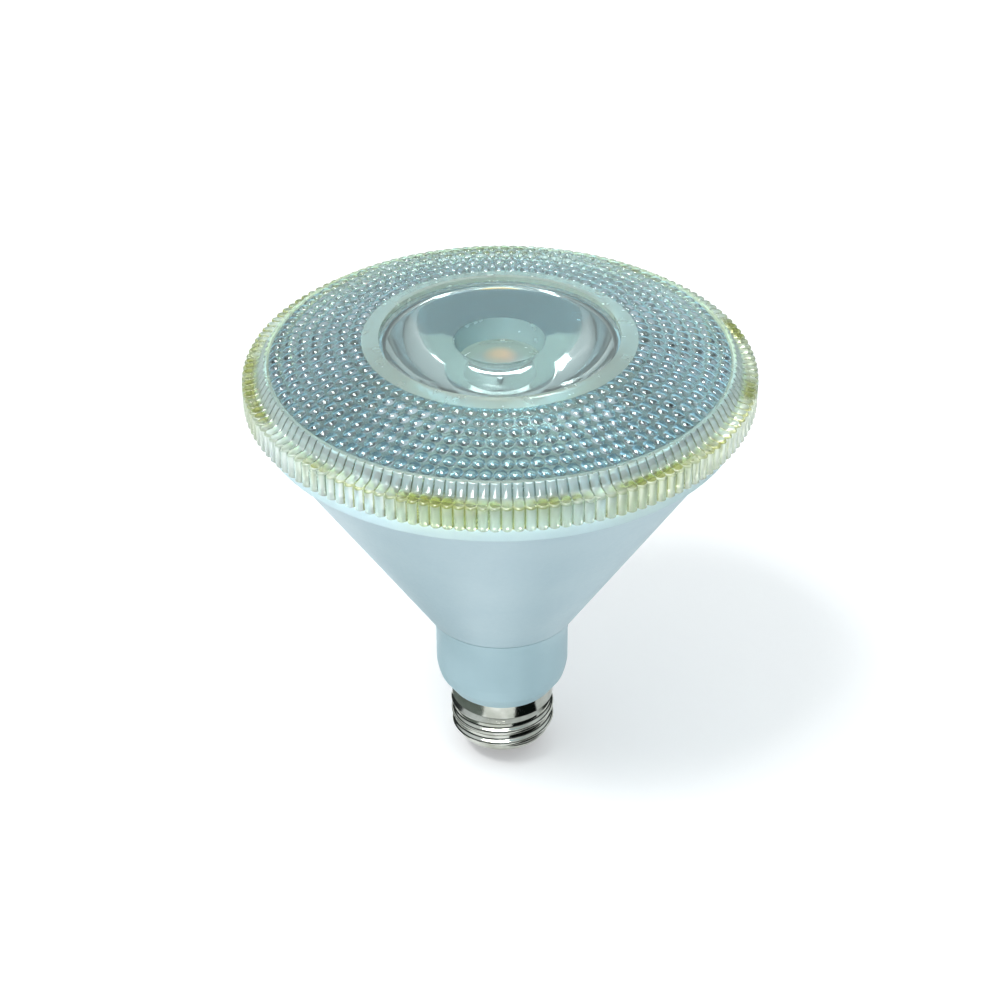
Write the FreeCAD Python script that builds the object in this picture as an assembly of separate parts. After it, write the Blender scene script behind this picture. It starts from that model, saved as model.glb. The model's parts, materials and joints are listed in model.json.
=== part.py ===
"""Par spotlight bulb, 121 mm reflector size, with an E27 screw cap.

Millimetres. The lamp's axis is Z, with the lens on top.
The origin is the middle of the centre contact's face.
"""
import FreeCAD, Part
import math
import os

# Screw cap, E27
thread_major_diameter = 26.3
thread_minor_diameter = 24.3
thread_pitch = 3.629
thread_sink = 0.05
thread_gap = 0.08
shell_sheet = 0.3
shell_band_diameter = 25.9
shell_band_length = 3.9
shell_length = 15.1
shell_curl = 1.6
shell_mouth_radius = 10.6
insulator_face_radius = 6.2
insulator_cone_height = 3.7
insulator_flange_height = 1.7
contact_radius = 4.9
contact_flat_radius = 3.4
contact_height = 1.6
contact_round_share = 0.3
rivet_radius = 2.2
rivet_rise = 0.8

# Neck
neck_radius = 16.6
neck_nose_step = 0.55
neck_shoulder_height = 7.0
nose_slope_share = 0.75
nose_round_share = 0.07
nose_round_height_share = 0.2
neck_height = 22.6
neck_wall = 1.8
stub_wall = 1.4
stub_lift = 2.0
spigot_height = 6.0
snap_bead = 0.5
seam_gap = 0.25

# Cone housing
cone_foot_flare = 2.1
cone_height = 57.3
cone_wall = 2.0
collar_wall = 1.6
rim_height = 9.6
rim_wall = 2.7
lip_step = 1.9
lip_drop = 0.9
sink_ledge_width = 3.0
sink_ledge_height = 1.8

# Heat sink and light board
sink_depth = 16.0
sink_floor = 2.0
sink_wall = 1.5
sink_wall_height = 9.0
sink_lead_hole_radius = 2.4
sink_lead_hole_place = 26.0
pad_thickness = 0.5
light_board_radius = 22.0
light_board_thickness = 1.6
cob_side = 13.5
cob_thickness = 0.8
phosphor_radius = 5.5
phosphor_thickness = 0.4
screw_count = 3
screw_circle = 17.5
screw_radius = 1.2
screw_head_radius = 2.3
screw_head_height = 1.5
screw_length = 5.6
screw_boss_wall = 1.8
screw_slot_width = 0.5
first_screw_angle = 30

# Clear lens
lens_diameter = 121.0
flute_pitch = 2.59
flute_depth = 1.2
skirt_wall = 1.7
skirt_overlap = 4.3
bead_thickness = 0.5
roof_thickness = 1.2
ledge_width = 2.7
ledge_rise = 0.45
bevel_width = 1.7
bevel_height = 2.8
bevel_rib_depth = 0.45
edge_groove_width = 0.4
edge_groove_depth = 0.4
dome_radius = 197.0
plate_thickness = 2.6
tongue_wall = 1.7
tongue_depth = 2.8
window_radius = 28.2
window_step = 1.5
well_radius = 10.7
well_floor_radius = 9.9
well_depth = 5.7
well_lens_rise = 2.0
collimator_radius = 27.4
collimator_land = 2.4
collimator_foot_radius = 12.4
collimator_bulge = 1.1
cavity_radius = 8.6
cavity_top_radius = 8.0
cavity_depth = 8.4
cavity_lens_drop = 2.2
emitter_gap = 0.4

# Lenslets on the dome
lenslet_ring_spacing = 3.12
lenslet_pitch = 3.2
lenslet_radius = 1.35
lenslet_height = 0.65
lenslet_sides = 6
lenslet_edge_margin = 1.45
smooth_ring_width = 4.0
bed_drop = 0.1
bed_depth = 0.5
cell_gap = 0.1

# Driver board and what it carries
board_thickness = 1.6
board_edge_gap = 1.8
board_headroom = 4.3
board_tail_edge_gap = 1.75
board_tail_height = 15.0
board_seat_lift = 1.2
rail_reach = 1.0
rail_side = 1.4
film_capacitor_size = (12.0, 6.0, 11.0)
film_capacitor_fillet = 0.6
varistor_radius = 4.0
varistor_thickness = 3.4
varistor_fillet = 0.8
fuse_radius = 1.7
fuse_length = 8.0
fuse_lift = 2.0
bridge_size = (6.5, 2.6, 5.0)
inductor_radius = 4.5
inductor_height = 9.0
inductor_waist = 1.2
bulk_capacitor_radius = 5.0
bulk_capacitor_length = 16.0
output_capacitor_radius = 4.0
output_capacitor_length = 12.0
can_groove_radius = 0.4
can_groove_place = 2.0
can_fillet = 0.5
core_size = (17.0, 11.0, 14.0)
core_leg = 4.0
winding_build = 2.0
winding_gap = 0.3
transistor_size = (6.6, 2.3, 6.1)
chip_size = (4.0, 1.5, 4.9)
chip_place = -4.0
diode_size = (2.7, 2.3, 4.6)
diode_place = 3.0
lead_radius = 0.65
lead_bend = 2.6
lead_bend_share = 0.45
lead_spread = 1.3
lead_run_on_board = 6.0
lead_turn_room = 0.5
lead_drop_under_sink = 4.0
lead_rise_over_board = 2.4
lead_pad_inset = 3.0
shell_lead_inset = 2.0
shell_lead_run = 4.0
tip_lead_place = -3.0
tip_lead_run = 3.0
tip_lead_drop = 1.2
tip_lead_rise = 1.0

# Clearances
slide_clearance = 0.3
close_clearance = 0.1
board_clearance = 0.15

# Heights, worked out upwards from the contact's face
insulator_face_z = contact_height
shell_bottom_z = insulator_face_z + insulator_cone_height
neck_bottom_z = shell_bottom_z + shell_length
shell_band_z = neck_bottom_z - shell_band_length
curl_top_z = shell_bottom_z + shell_curl
flange_z = curl_top_z + close_clearance
insulator_top_z = flange_z + insulator_flange_height
stub_bottom_z = insulator_top_z + stub_lift
shoulder_top_z = neck_bottom_z + neck_shoulder_height
seam_z = neck_bottom_z + neck_height
lip_z = seam_z + cone_height
rim_top_z = lip_z + rim_height
spigot_top_z = seam_z + spigot_height
sink_floor_z = rim_top_z - sink_depth
sink_bottom_z = sink_floor_z - sink_floor
pad_top_z = sink_floor_z + pad_thickness
light_board_top_z = pad_top_z + light_board_thickness
cob_top_z = light_board_top_z + cob_thickness
emitter_top_z = cob_top_z + phosphor_thickness
roof_under_z = rim_top_z + bead_thickness
skirt_top_z = roof_under_z + roof_thickness
skirt_bottom_z = rim_top_z - skirt_overlap
bevel_foot_z = skirt_top_z + ledge_rise
bevel_top_z = bevel_foot_z + bevel_height
lens_bottom_z = emitter_top_z + emitter_gap

# Radii, worked out inwards from the lens
flute_crest_radius = lens_diameter / 2
flute_root_radius = flute_crest_radius - flute_depth
flute_count = round(2 * math.pi * flute_root_radius / flute_pitch)
skirt_inner_radius = flute_root_radius - skirt_wall
rim_radius = skirt_inner_radius - slide_clearance
rim_inner_radius = rim_radius - rim_wall
cone_top_radius = rim_radius - lip_step
tongue_radius = rim_inner_radius - slide_clearance
tongue_inner_radius = tongue_radius - tongue_wall
bevel_foot_radius = flute_root_radius - ledge_width
bevel_top_radius = bevel_foot_radius - bevel_width
skirt_core_radius = flute_root_radius - skirt_wall / 2
rib_core_radius = bevel_top_radius - bevel_rib_depth
dome_edge_radius = rib_core_radius - edge_groove_width
dome_centre_z = bevel_top_z - math.sqrt(dome_radius ** 2 - dome_edge_radius ** 2)
dome_rise = dome_centre_z + dome_radius - bevel_top_z

# Rings of lenslets, as many as fit between the smooth ring and the dome's edge
last_lenslet_ring = dome_edge_radius - lenslet_edge_margin
lenslet_room = last_lenslet_ring - lenslet_ring_spacing / 2 - window_radius - smooth_ring_width
lenslet_rings = 1 + int(lenslet_room / lenslet_ring_spacing)
first_lenslet_ring = last_lenslet_ring - (lenslet_rings - 1) * lenslet_ring_spacing
bed_wall_radius = first_lenslet_ring - (lenslet_ring_spacing + cell_gap) / 2
bed_edge_radius = math.sqrt((dome_radius - bed_depth) ** 2 - (bevel_top_z - dome_centre_z) ** 2)

# Radii of the cap and the neck
thread_root_radius = thread_minor_diameter / 2
thread_crest_radius = thread_major_diameter / 2
shell_bore_radius = thread_root_radius - shell_sheet
shell_band_radius = shell_band_diameter / 2
shell_band_bore = shell_band_radius - shell_sheet
band_step = shell_band_radius - thread_root_radius
stub_radius = shell_bore_radius - close_clearance
stub_bore_radius = stub_radius - stub_wall
stub_seat_radius = shell_band_bore - close_clearance
neck_nose_radius = shell_band_radius + neck_nose_step
neck_bore_radius = neck_radius - neck_wall
cone_foot_radius = neck_radius + cone_foot_flare
collar_bore_radius = cone_foot_radius - cone_wall
spigot_radius = collar_bore_radius - close_clearance
cone_slope = (cone_top_radius - cone_foot_radius) / cone_height
cone_angle = math.atan(cone_slope)
cone_wall_across = cone_wall / math.cos(cone_angle)

# Driver board
board_seat_z = shoulder_top_z + board_seat_lift
board_top_z = sink_bottom_z - board_headroom
board_height = board_top_z - board_seat_z
board_bottom_z = board_seat_z - board_tail_height
board_half_width = neck_bore_radius - board_edge_gap
board_tail_half_width = stub_bore_radius - board_tail_edge_gap
board_face = board_thickness / 2

# Components on the board's front, from its seat upwards with even gaps
front_height = film_capacitor_size[2] + 2 * inductor_radius + 2 * bulk_capacitor_radius + core_size[2]
front_gap = (board_height - front_height) / 5
film_capacitor_z = board_seat_z + front_gap
inductor_z = film_capacitor_z + film_capacitor_size[2] + front_gap + inductor_radius
capacitors_z = inductor_z + inductor_radius + front_gap + bulk_capacitor_radius
core_z = capacitors_z + bulk_capacitor_radius + front_gap
core_window = (core_size[0] - 3 * core_leg) / 2
can_gap = 2 * (board_half_width - bulk_capacitor_radius - output_capacitor_radius) / 3
bulk_capacitor_place = can_gap + bulk_capacitor_radius - board_half_width
output_capacitor_place = board_half_width - can_gap - output_capacitor_radius

# Components on the board's back, under the run of the light leads
back_height = 2 * varistor_radius + bridge_size[2] + transistor_size[2] + chip_size[2] + diode_size[2]
back_gap = (board_height - lead_run_on_board - back_height) / 6
varistor_z = board_seat_z + back_gap + varistor_radius
bridge_z = varistor_z + varistor_radius + back_gap
transistor_z = bridge_z + bridge_size[2] + back_gap
chip_z = transistor_z + transistor_size[2] + back_gap
diode_z = chip_z + chip_size[2] + back_gap

ORIGIN = FreeCAD.Vector(0, 0, 0)
Z_AXIS = FreeCAD.Vector(0, 0, 1)


def outline_edges(start, steps):
    """Edges of a closed outline. A step is an end point, or a middle and an end point of an arc."""
    edges = []
    here = start
    for step in list(steps) + [start]:
        if isinstance(step[0], tuple):
            middle, end = step
            arc = Part.Arc(section_point(here), section_point(middle), section_point(end))
            edges.append(arc.toShape())
        else:
            end = step
            edges.append(Part.LineSegment(section_point(here), section_point(end)).toShape())
        here = end
    return edges


def section_point(place):
    """A point of the half section: its radius and its height."""
    radius, height = place
    return FreeCAD.Vector(radius, 0, height)


def turned(start, *steps):
    """A solid turned round the lamp's axis from its half section."""
    face = Part.Face(Part.Wire(outline_edges(start, steps)))
    return face.revolve(ORIGIN, Z_AXIS, 360)


def ring_disc(inner, outer, bottom, top):
    """A flat ring, or a disc when the inner radius is zero."""
    return turned((inner, bottom), (outer, bottom), (outer, top), (inner, top))


def block(size, middle):
    """A box from its three sizes and the middle of its volume."""
    corner = FreeCAD.Vector(*[place - side / 2 for place, side in zip(middle, size)])
    return Part.makeBox(*size, corner)


def rod(radius, start, direction, length):
    """A round rod from its start point along a direction."""
    return Part.makeCylinder(radius, length, FreeCAD.Vector(*start), FreeCAD.Vector(*direction))


def turned_about_axis(shape, degrees):
    """A copy of the shape, turned about the lamp's axis."""
    copy = shape.copy()
    copy.rotate(ORIGIN, Z_AXIS, degrees)
    return copy


def bent_tube(points, radius, bend):
    """A round lead along straight runs joined by tangent arcs."""
    corners = [FreeCAD.Vector(*point) for point in points]
    edges = []
    here = corners[0]
    for before, corner, after in zip(corners, corners[1:], corners[2:]):
        inward = (before - corner).normalize()
        outward = (after - corner).normalize()
        half_turn = (math.pi - inward.getAngle(outward)) / 2
        run = min((before - corner).Length, (after - corner).Length)
        arc_radius = min(bend, lead_bend_share * run / math.tan(half_turn))
        setback = arc_radius * math.tan(half_turn)
        arc_start = corner + inward * setback
        arc_end = corner + outward * setback
        bisector = (inward + outward).normalize()
        middle = corner + bisector * (arc_radius / math.cos(half_turn) - arc_radius)
        edges.append(Part.LineSegment(here, arc_start).toShape())
        edges.append(Part.Arc(arc_start, middle, arc_end).toShape())
        here = arc_end
    edges.append(Part.LineSegment(here, corners[-1]).toShape())
    path = Part.Wire(edges)
    start_direction = (corners[1] - corners[0]).normalize()
    ring = Part.Wire(Part.makeCircle(radius, corners[0], start_direction))
    return path.makePipeShell([ring], True, True)


def cone_radius(height):
    """Outer radius of the cone housing at a height."""
    return cone_foot_radius + cone_slope * (height - seam_z)


def cone_inner_radius(height):
    """Inner radius of the cone housing at a height."""
    return cone_radius(height) - cone_wall_across


def dome_z(radius):
    """Height of the lens dome's upper face at a radius."""
    return dome_centre_z + math.sqrt(dome_radius ** 2 - radius ** 2)


def dome_under_z(radius):
    """Height of the lens dome's lower face at a radius."""
    return dome_centre_z + math.sqrt((dome_radius - plate_thickness) ** 2 - radius ** 2)


def dome_bed_z(radius):
    """Height of the face under the lenslet bed at a radius."""
    return dome_centre_z + math.sqrt((dome_radius - bed_depth) ** 2 - radius ** 2)


def crown_middle(radius, edge_z, rise):
    """Point halfway out on a shallow round crown over the lamp's axis; a negative rise hangs down."""
    sphere_radius = (radius ** 2 + rise ** 2) / (2 * abs(rise))
    drop = sphere_radius - math.sqrt(sphere_radius ** 2 - radius ** 2 / 4)
    return (radius / 2, edge_z + math.copysign(abs(rise) - drop, rise))


def dome_arc(height_at, start_radius, end_radius):
    """The middle and end points of an arc along one face of the dome."""
    middle_radius = (start_radius + end_radius) / 2
    return ((middle_radius, height_at(middle_radius)), (end_radius, height_at(end_radius)))


# Clear lens

def lens_moulding():
    """The turned body of the lens: dome, window, well, collimator and the skirt without its flutes."""
    window_z = dome_z(window_radius) - window_step
    well_floor_z = window_z - well_depth
    collimator_top_z = dome_under_z(collimator_radius) - collimator_land
    cavity_top_z = lens_bottom_z + cavity_depth
    wall_middle_radius = (collimator_radius + collimator_foot_radius) / 2 + collimator_bulge
    wall_middle_z = (collimator_top_z + lens_bottom_z) / 2 - collimator_bulge
    groove_middle = dome_edge_radius + edge_groove_width / 2
    cavity_crown = crown_middle(cavity_top_radius, cavity_top_z, -cavity_lens_drop)
    return turned(
        (0, well_floor_z + well_lens_rise),
        (crown_middle(well_floor_radius, well_floor_z, well_lens_rise), (well_floor_radius, well_floor_z)),
        (well_radius, window_z),
        (window_radius, window_z),
        (window_radius, dome_z(window_radius)),
        dome_arc(dome_z, window_radius, bed_wall_radius),
        (bed_wall_radius, dome_bed_z(bed_wall_radius)),
        dome_arc(dome_bed_z, bed_wall_radius, bed_edge_radius),
        (dome_edge_radius, bevel_top_z),
        (groove_middle, bevel_top_z - edge_groove_depth),
        (rib_core_radius, bevel_top_z),
        (rib_core_radius, bevel_foot_z),
        (bevel_foot_radius + bevel_rib_depth, bevel_foot_z),
        (skirt_core_radius, skirt_top_z),
        (skirt_core_radius, skirt_bottom_z),
        (skirt_inner_radius, skirt_bottom_z),
        (skirt_inner_radius, roof_under_z),
        (tongue_radius, roof_under_z),
        (tongue_radius, roof_under_z - tongue_depth),
        (tongue_inner_radius, roof_under_z - tongue_depth),
        (tongue_inner_radius, dome_under_z(tongue_inner_radius)),
        dome_arc(dome_under_z, tongue_inner_radius, collimator_radius),
        (collimator_radius, collimator_top_z),
        ((wall_middle_radius, wall_middle_z), (collimator_foot_radius, lens_bottom_z)),
        (cavity_radius, lens_bottom_z),
        (cavity_top_radius, cavity_top_z),
        (cavity_crown, (0, cavity_top_z - cavity_lens_drop)),
    )


def polar_point(radius, angle, height):
    """A point from its radius, its angle in radians and its height."""
    return FreeCAD.Vector(radius * math.cos(angle), radius * math.sin(angle), height)


def flat_face(corners):
    """A flat face from its corners."""
    return Part.Face(Part.makePolygon(corners + [corners[0]]))


def flat_sided(faces):
    """A solid from the flat faces that close it."""
    solid = Part.Solid(Part.Shell(faces))
    if solid.Volume < 0:
        solid.reverse()
    return solid


def frustum(foot, top):
    """The flat-sided solid between two level outlines with as many corners each."""
    faces = [flat_face(foot), flat_face(top)]
    for index in range(len(foot)):
        after = (index + 1) % len(foot)
        faces.append(flat_face([foot[index], foot[after], top[after], top[index]]))
    return flat_sided(faces)


def skirt_flutes():
    """The ring of half-round upright flutes round the skirt."""
    step = 2 * math.pi / flute_count
    arcs = []
    for index in range(flute_count):
        start = polar_point(flute_root_radius, index * step, skirt_bottom_z)
        crest = polar_point(flute_crest_radius, (index + 0.5) * step, skirt_bottom_z)
        end = polar_point(flute_root_radius, (index + 1) * step, skirt_bottom_z)
        arcs.append(Part.Arc(start, crest, end).toShape())
    height = skirt_top_z - skirt_bottom_z
    core = rod(skirt_core_radius, (0, 0, skirt_bottom_z), (0, 0, 1), height)
    return Part.Face(Part.Wire(arcs)).extrude(Z_AXIS * height).cut(core)


def rib_outline(crest_radius, valley_radius, height):
    """The corners of the bevel's ribs at one height."""
    step = 2 * math.pi / flute_count
    corners = []
    for index in range(flute_count):
        corners.append(polar_point(valley_radius, index * step, height))
        corners.append(polar_point(crest_radius, (index + 0.5) * step, height))
    return corners


def bevel_ribs():
    """The radial ribs of the bevel, one above each flute, with a round hole through their middle."""
    taper = bevel_top_radius / bevel_foot_radius
    foot_crest = bevel_foot_radius + bevel_rib_depth
    foot = rib_outline(foot_crest, bevel_foot_radius, bevel_foot_z)
    top = rib_outline(foot_crest * taper, bevel_top_radius, bevel_top_z)
    return frustum(foot, top).cut(rod(rib_core_radius, (0, 0, bevel_foot_z), (0, 0, 1), bevel_height))


def lenslet_ring_radius(ring):
    """Radius of one ring of lenslets, counted from the inside."""
    return first_lenslet_ring + ring * lenslet_ring_spacing


def lenslet_count(ring):
    """How many lenslets one ring holds."""
    return round(2 * math.pi * lenslet_ring_radius(ring) / lenslet_pitch)


def lenslet_angle(ring, index):
    """Where a lenslet stands round its ring, in radians. Every second ring is turned by half a step."""
    step = 2 * math.pi / lenslet_count(ring)
    return -math.pi / 2 + (index + (ring % 2) / 2) * step


def bed_border(ring):
    """Radius and height of the border inside one ring of cells; the last border is the dome's edge."""
    if ring == lenslet_rings:
        return dome_edge_radius, bevel_top_z
    radius = lenslet_ring_radius(ring) - lenslet_ring_spacing / 2
    return radius, dome_z(radius) - bed_drop


def cell_outline(ring, radius, height):
    """The corners of one ring of flat cells at one height, one side for each lenslet."""
    corners = []
    for index in range(lenslet_count(ring)):
        corners.append(polar_point(radius, lenslet_angle(ring, index - 0.5), height))
    return corners


def lenslet_bed():
    """The bed of the lenslets: rings of flat cells that follow the dome, stacked as many-sided frustums."""
    rings = []
    for ring in range(lenslet_rings):
        inner_radius, inner_z = bed_border(ring)
        outer_radius, outer_z = bed_border(ring + 1)
        foot = cell_outline(ring, outer_radius - cell_gap / 2, outer_z)
        top = cell_outline(ring, inner_radius + cell_gap / 2, inner_z)
        rings.append(frustum(foot, top))
    bed = rings[0].fuse(rings[1:])
    room_under = Part.makeSphere(dome_radius - plate_thickness / 2, FreeCAD.Vector(0, 0, dome_centre_z))
    bore = rod(bed_wall_radius - bed_depth, (0, 0, bevel_top_z), (0, 0, 1), bevel_height + dome_rise)
    return bed.cut([room_under, bore])


def lenslet_cap():
    """One raised lenslet as a faceted cap that stands on the level, sunk by a little."""
    corners = []
    for index in range(lenslet_sides):
        corners.append(polar_point(lenslet_radius, 2 * math.pi * index / lenslet_sides, 0))
    apex = FreeCAD.Vector(0, 0, lenslet_height)
    sink = Z_AXIS * close_clearance
    foot = [corner - sink for corner in corners]
    faces = [flat_face(foot)]
    for index in range(lenslet_sides):
        after = (index + 1) % lenslet_sides
        faces.append(flat_face([foot[index], foot[after], corners[after], corners[index]]))
        faces.append(flat_face([corners[index], corners[after], apex]))
    return flat_sided(faces)


def lenslets():
    """All lenslets, each square to its cell and in the middle of it."""
    caps = []
    for ring in range(lenslet_rings):
        inner_radius, inner_z = bed_border(ring)
        outer_radius, outer_z = bed_border(ring + 1)
        flat = math.cos(math.pi / lenslet_count(ring))
        middle_radius = (inner_radius + outer_radius) / 2 * flat
        cell_run = (outer_radius - inner_radius - cell_gap) * flat
        tilt = math.atan((inner_z - outer_z) / cell_run)
        upright = lenslet_cap()
        upright.rotate(ORIGIN, FreeCAD.Vector(0, 1, 0), math.degrees(tilt))
        upright.translate(FreeCAD.Vector(middle_radius, 0, (inner_z + outer_z) / 2))
        for index in range(lenslet_count(ring)):
            caps.append(turned_about_axis(upright, math.degrees(lenslet_angle(ring, index))))
    return caps


def make_clear_lens():
    bed = lenslet_bed().fuse(lenslets())
    return lens_moulding().fuse([skirt_flutes(), bevel_ribs(), bed])


def make_rim_bead():
    inner = rim_inner_radius + slide_clearance
    outer = rim_radius - slide_clearance
    return ring_disc(inner, outer, rim_top_z, roof_under_z)


# White mouldings

def make_cone_housing():
    foot_z = seam_z + seam_gap
    collar_top_z = spigot_top_z + collar_wall
    collar_radius = collar_bore_radius + collar_wall
    gap_foot_z = seam_z + (collar_radius + cone_wall_across - cone_foot_radius) / cone_slope
    ledge_z = sink_bottom_z
    ledge_radius = cone_inner_radius(ledge_z) - sink_ledge_width
    ledge_foot_z = ledge_z - sink_ledge_height
    ledge_root_z = ledge_foot_z - sink_ledge_width
    bead_z = seam_z + spigot_height / 2
    return turned(
        (collar_bore_radius, foot_z),
        (cone_radius(foot_z), foot_z),
        (cone_top_radius, lip_z),
        ((rim_radius - lip_step / 4, lip_z + lip_drop / 4), (rim_radius, lip_z + lip_drop)),
        (rim_radius, rim_top_z),
        (rim_inner_radius, rim_top_z),
        (rim_inner_radius, lip_z + rim_wall),
        (cone_inner_radius(lip_z), lip_z),
        (cone_inner_radius(ledge_z), ledge_z),
        (ledge_radius, ledge_z),
        (ledge_radius, ledge_foot_z),
        (cone_inner_radius(ledge_root_z), ledge_root_z),
        (collar_radius, gap_foot_z),
        (collar_radius, collar_top_z),
        (collar_bore_radius, collar_top_z),
        (collar_bore_radius, bead_z + snap_bead),
        (collar_bore_radius + snap_bead, bead_z),
        (collar_bore_radius, bead_z - snap_bead),
    )


def neck_rail(side):
    """One upright rail of the driver board, with its slot and the stop under the board's shoulder."""
    reach = board_half_width - rail_reach
    half = board_face + board_clearance + rail_side
    rail_foot_z = board_seat_z - board_seat_lift
    outer = neck_bore_radius + neck_wall / 2
    rail_height = spigot_top_z - rail_foot_z
    rail = Part.makeBox(outer - reach, 2 * half, rail_height, FreeCAD.Vector(reach, -half, rail_foot_z))
    slot_half = board_face + board_clearance
    slot_reach = board_half_width + board_clearance - reach
    slot_foot = FreeCAD.Vector(reach, -slot_half, board_seat_z)
    slot = Part.makeBox(slot_reach, 2 * slot_half, spigot_top_z - board_seat_z, slot_foot)
    rail = rail.cut(slot).common(rod(outer, (0, 0, rail_foot_z), (0, 0, 1), rail_height))
    return turned_about_axis(rail, 0 if side > 0 else 180)


def make_neck_base():
    blend_radius = (cone_foot_radius - neck_radius) / (1 - math.cos(cone_angle))
    blend_height = blend_radius * math.sin(cone_angle)
    half_blend = blend_radius * (1 - math.cos(cone_angle / 2))
    half_height = blend_radius * math.sin(cone_angle / 2)
    blend_z = seam_z - blend_height
    nose_run = neck_radius - neck_nose_radius
    nose_round = (
        neck_radius - nose_round_share * nose_run,
        shoulder_top_z - nose_round_height_share * neck_shoulder_height,
    )
    bead_z = seam_z + spigot_height / 2
    bead = snap_bead - close_clearance
    body = turned(
        (stub_bore_radius, stub_bottom_z),
        (stub_radius, stub_bottom_z),
        (stub_radius, shell_band_z - band_step - close_clearance),
        (stub_seat_radius, shell_band_z + close_clearance),
        (stub_seat_radius, neck_bottom_z),
        (neck_nose_radius, neck_bottom_z),
        (neck_nose_radius + nose_slope_share * nose_run, shoulder_top_z - neck_shoulder_height / 2),
        (nose_round, (neck_radius, shoulder_top_z)),
        (neck_radius, blend_z),
        ((neck_radius + half_blend, blend_z + half_height), (cone_foot_radius, seam_z)),
        (spigot_radius, seam_z),
        (spigot_radius, bead_z - bead),
        (spigot_radius + bead, bead_z),
        (spigot_radius, bead_z + bead),
        (spigot_radius, spigot_top_z),
        (neck_bore_radius, spigot_top_z),
        (neck_bore_radius, shoulder_top_z),
        (stub_bore_radius, shoulder_top_z - (neck_bore_radius - stub_bore_radius)),
    )
    return body.fuse([neck_rail(1), neck_rail(-1)])


# Screw cap

def thread_ridge():
    """The rolled thread's ridge: round crest and round flanks swept along a helix."""
    foot_radius = thread_root_radius - thread_sink
    depth = thread_crest_radius - foot_radius
    half_width = thread_pitch / 2 - thread_gap
    arc_radius = (half_width ** 2 + depth ** 2) / (4 * depth)
    half_flank = math.asin(half_width / 2 / arc_radius) / 2
    flank_in = arc_radius * (1 - math.cos(half_flank))
    flank_up = arc_radius * math.sin(half_flank)
    buried_radius = thread_root_radius - shell_sheet / 2
    middle_radius = foot_radius + depth / 2
    profile = Part.Wire(outline_edges(
        (buried_radius, -half_width),
        [
            (foot_radius, -half_width),
            ((foot_radius + flank_in, flank_up - half_width), (middle_radius, -half_width / 2)),
            ((thread_crest_radius, 0), (middle_radius, half_width / 2)),
            ((foot_radius + flank_in, half_width - flank_up), (foot_radius, half_width)),
            (buried_radius, half_width),
        ],
    ))
    length = shell_band_z - shell_bottom_z
    helix = Part.makeHelix(thread_pitch, length, buried_radius)
    ridge = helix.makePipeShell([profile], True, True)
    ridge.translate(FreeCAD.Vector(0, 0, shell_bottom_z))
    depth_run = 2 * depth
    low = curl_top_z
    high = shell_band_z - band_step
    inner = buried_radius - shell_sheet
    run_out = turned(
        (inner, low),
        (thread_root_radius, low),
        (thread_crest_radius + depth, low + depth_run),
        (thread_crest_radius + depth, high - depth_run),
        (thread_root_radius, high),
        (inner, high),
    )
    return ridge.common(run_out)


def make_screw_shell():
    curl_middle = (thread_root_radius - shell_sheet, shell_bottom_z + shell_curl / 4)
    tube = turned(
        (shell_mouth_radius, shell_bottom_z),
        (shell_bore_radius - shell_sheet, shell_bottom_z),
        (curl_middle, (thread_root_radius, curl_top_z)),
        (thread_root_radius, shell_band_z - band_step),
        (shell_band_radius, shell_band_z),
        (shell_band_radius, neck_bottom_z),
        (shell_band_bore, neck_bottom_z),
        (shell_band_bore, shell_band_z),
        (shell_bore_radius, shell_band_z - band_step),
        (shell_bore_radius, curl_top_z),
        (shell_mouth_radius, shell_bottom_z + shell_sheet),
    )
    return tube.fuse(thread_ridge())


def make_cap_insulator():
    hole = rivet_radius + close_clearance
    waist = shell_mouth_radius - 2 * close_clearance
    return turned(
        (hole, insulator_face_z),
        (insulator_face_radius, insulator_face_z),
        (waist, shell_bottom_z),
        (waist, shell_bottom_z + shell_sheet + 2 * close_clearance),
        (stub_radius, flange_z),
        (stub_radius, insulator_top_z),
        (hole, insulator_top_z),
    )


def make_centre_contact():
    rounding = (contact_radius - contact_flat_radius) * contact_round_share
    edge_middle = (contact_radius - rounding, contact_height * contact_round_share)
    return turned(
        (0, 0),
        (contact_flat_radius, 0),
        (edge_middle, (contact_radius, contact_height)),
        (rivet_radius, contact_height),
        (rivet_radius, insulator_top_z + rivet_rise),
        (0, insulator_top_z + rivet_rise),
    )


# Heat sink and light board

def screw_places():
    """Centres of the light board's screws."""
    places = []
    for index in range(screw_count):
        angle = math.radians(first_screw_angle + 360 * index / screw_count)
        places.append((screw_circle * math.cos(angle), screw_circle * math.sin(angle)))
    return places


def make_heat_sink():
    wall_top_z = sink_floor_z + sink_wall_height
    outer_floor = cone_inner_radius(sink_bottom_z) - slide_clearance
    outer_top = cone_inner_radius(wall_top_z) - slide_clearance
    wall_across = sink_wall / math.cos(cone_angle)
    inner_floor = cone_inner_radius(sink_floor_z) - slide_clearance - wall_across
    body = turned(
        (0, sink_bottom_z),
        (outer_floor, sink_bottom_z),
        (outer_top, wall_top_z),
        (outer_top - wall_across, wall_top_z),
        (inner_floor, sink_floor_z),
        (0, sink_floor_z),
    )
    boss_z = light_board_top_z - screw_length
    bosses = []
    holes = []
    for x, y in screw_places():
        bosses.append(rod(screw_radius + screw_boss_wall, (x, y, boss_z), (0, 0, 1), sink_floor_z - boss_z))
        holes.append(rod(screw_radius, (x, y, boss_z), (0, 0, 1), sink_floor_z - boss_z))
    holes.append(rod(sink_lead_hole_radius, (0, sink_lead_hole_place, sink_bottom_z), (0, 0, 1), sink_floor))
    return body.fuse(bosses).cut(holes)


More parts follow.
